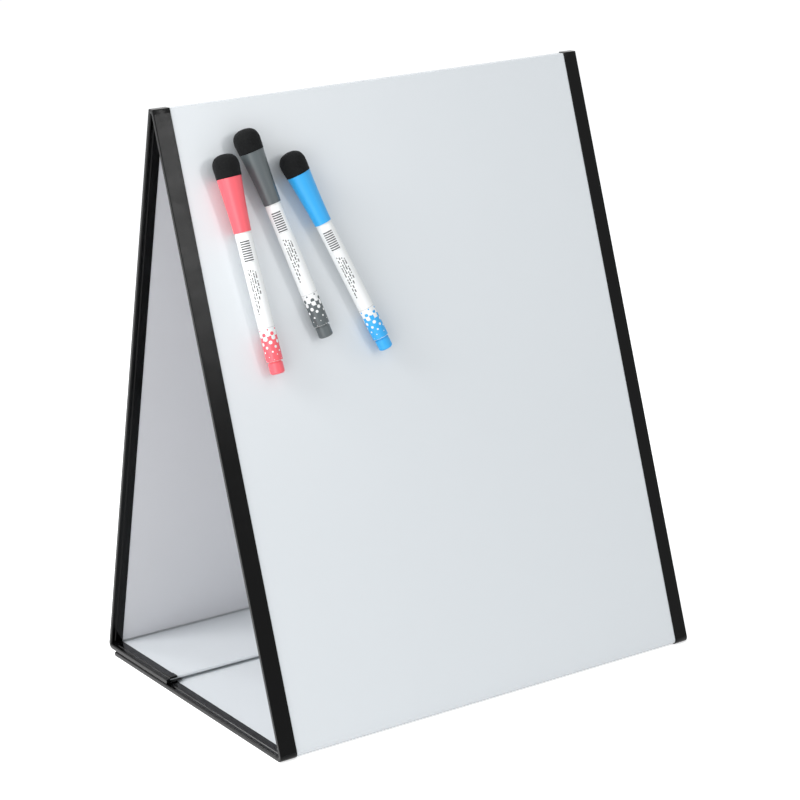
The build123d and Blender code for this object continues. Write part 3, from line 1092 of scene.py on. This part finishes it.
def white_floor(look):
    """A pale floor, white where nothing shades it."""
    far = 9
    points = [(-far, -far, 0), (far, -far, 0), (far, far, 0), (-far, far, 0)]
    mesh = bpy.data.meshes.new("studio_floor")
    mesh.from_pydata(points, [], [(0, 1, 2, 3)])
    floor = new_object("studio_floor", mesh)
    material = bpy.data.materials.new("Studio floor")
    material.use_nodes = True
    tree = material.node_tree
    tree.nodes.clear()
    seen = seen_white(tree)
    tone = solid((look.floor_tone,) * 3)
    paint = add_node(tree, "ShaderNodeBsdfDiffuse", {"Color": tone}).outputs[0]
    glow = {"Color": WHITE, "Strength": times(tree, seen, SEEN_GLOW)}
    lift = add_node(tree, "ShaderNodeEmission", glow).outputs[0]
    both = add_node(tree, "ShaderNodeAddShader", {0: paint, 1: lift}).outputs[0]
    add_node(tree, "ShaderNodeOutputMaterial", {"Surface": both})
    mesh.materials.append(material)
    floor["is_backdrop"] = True


def aim(made, along, roll=0.0):
    """Points a lamp or camera along a direction."""
    made.rotation_mode = "QUATERNION"
    made.rotation_quaternion = along.to_track_quat("-Z", "Y") @ Quaternion((0, 0, 1), -roll)


def lamp(name, place, target, size, power):
    """A soft oblong lamp aimed at a point."""
    data = bpy.data.lights.new(name, "AREA")
    data.shape = "RECTANGLE"
    data.size, data.size_y = size
    data.energy = power
    made = new_object(name, data)
    made.location = place
    aim(made, Vector(target) - Vector(place))


def camera(look):
    """The camera at the photograph's place."""
    data = bpy.data.cameras.new("Camera")
    data.sensor_width = 36.0
    data.lens = look.lens
    data.clip_start, data.clip_end = 0.05, 50.0
    made = new_object("Camera", data)
    made.location = look.camera_place
    left, above = look.camera_left, look.camera_above
    ahead = Vector((
        math.sin(left) * math.cos(above), math.cos(left) * math.cos(above), -math.sin(above)
    ))
    aim(made, ahead, look.camera_roll)
    bpy.context.scene.camera = made


# ---------- operators
class EASEL_OT_stage(bpy.types.Operator):
    """Make the floor, the white surroundings, the soft lamps and the camera"""

    bl_idname = "easel.stage"
    bl_label = "Stage"

    def execute(self, context):
        look = context.scene.easel_stage
        context.scene.view_settings.view_transform = "Standard"
        white_world(look)
        white_floor(look)
        middle = (0, 0, 0.18)
        lamp("key_lamp", (0.50, -1.50, 1.55), middle, (1.2, 1.2), look.key_power)
        lamp("gloss_lamp", (0.80, -1.85, 1.00), middle, (0.13, 0.46), look.gloss_power)
        lamp("side_lamp", (-1.40, 0.08, 1.20), (0, 0, 0.05), (0.8, 0.8), look.side_power)
        lamp("rim_lamp", (-0.85, 1.25, 1.05), middle, (0.35, 0.60), look.rim_power)
        lamp("fill_lamp", (-1.35, -0.95, 0.42), (0, 0, 0.12), (0.8, 0.8), look.fill_power)
        camera(look)
        return {"FINISHED"}


class EASEL_OT_panels(bpy.types.Operator):
    """Give the panels' films, boards, steel sheets, magnet strip and edging their materials"""

    bl_idname = "easel.panels"
    bl_label = "Panels and edging"

    def execute(self, context):
        dress("white_film", "grey_board", "steel_sheet", "magnet_strip", "black_edging")
        return {"FINISHED"}


class EASEL_OT_folds(bpy.types.Operator):
    """Make the white folds and black bindings at the three hinges"""

    bl_idname = "easel.folds"
    bl_label = "Folds"

    def execute(self, context):
        look = context.scene.easel_edging
        for name in STRIP:
            fold = Fold(name)
            parts = [
                ("white_fold", film_section(look), "white_film", "hinge_film"),
                ("left_binding", edging_section(look, -1), "black_edging", "binding_left"),
                ("right_binding", edging_section(look, 1), "black_edging", "binding_right"),
            ]
            for piece_name, section, slot, node in parts:
                piece = swept(f"{name}_{piece_name}", fold, section, slot, look)
                fold.bend(piece)
                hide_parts(f"{name}_{node}")
        return {"FINISHED"}


class EASEL_OT_caps(bpy.types.Operator):
    """Make the markers' caps with their felt erasers, and finish the magnets inside them"""

    bl_idname = "easel.caps"
    bl_label = "Caps and erasers"

    def execute(self, context):
        for shape in (felt_dome, cap_shell):
            for name in COLOURS:
                shape(name, context.scene.easel_marker)
        dress("plated_magnet")
        return {"FINISHED"}


class EASEL_OT_pens(bpy.types.Operator):
    """Make the printed sleeves and end plugs, and finish the barrels, nibs and ink"""

    bl_idname = "easel.pens"
    bl_label = "Pens"

    def execute(self, context):
        for name in COLOURS:
            sleeve(name, context.scene.easel_marker)
            plug(name, context.scene.easel_marker)
            dress(f"{name}_ink")
        dress("white_barrel")
        return {"FINISHED"}


STEPS = (EASEL_OT_stage, EASEL_OT_panels, EASEL_OT_folds, EASEL_OT_caps, EASEL_OT_pens)
SETTINGS = {
    "easel_stage": StageSettings,
    "easel_film": FilmSettings,
    "easel_edging": EdgingSettings,
    "easel_marker": MarkerSettings,
}


class EASEL_PT_sidebar(bpy.types.Panel):
    """The easel's settings and steps, in the sidebar"""

    bl_label = "Whiteboard easel"
    bl_space_type = "VIEW_3D"
    bl_region_type = "UI"
    bl_category = "Easel"

    def draw(self, context):
        for step in STEPS:
            self.layout.operator(step.bl_idname)
        for attribute, group in SETTINGS.items():
            box = self.layout.box()
            for name in group.__annotations__:
                box.prop(getattr(context.scene, attribute), name)


def register():
    """Adds the settings, steps and panel."""
    for group in SETTINGS.values():
        bpy.utils.register_class(group)
    for attribute, group in SETTINGS.items():
        setattr(bpy.types.Scene, attribute, PointerProperty(type=group))
    for step in STEPS:
        bpy.utils.register_class(step)
    bpy.utils.register_class(EASEL_PT_sidebar)


def unregister():
    """Takes them away again."""
    bpy.utils.unregister_class(EASEL_PT_sidebar)
    for step in reversed(STEPS):
        bpy.utils.unregister_class(step)
    for attribute, group in SETTINGS.items():
        delattr(bpy.types.Scene, attribute)
        bpy.utils.unregister_class(group)


def corners(box):
    """A box's two corners as plain lists."""
    return [list(corner) for corner in box]


def main():
    """Makes the whole scene."""
    register()
    for step in STEPS:
        group, name = step.bl_idname.split(".")
        getattr(getattr(bpy.ops, group), name)()
    sizes = {"cad": corners(cad_box), "visual": corners(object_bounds())}


if __name__ == "__main__":
    main()
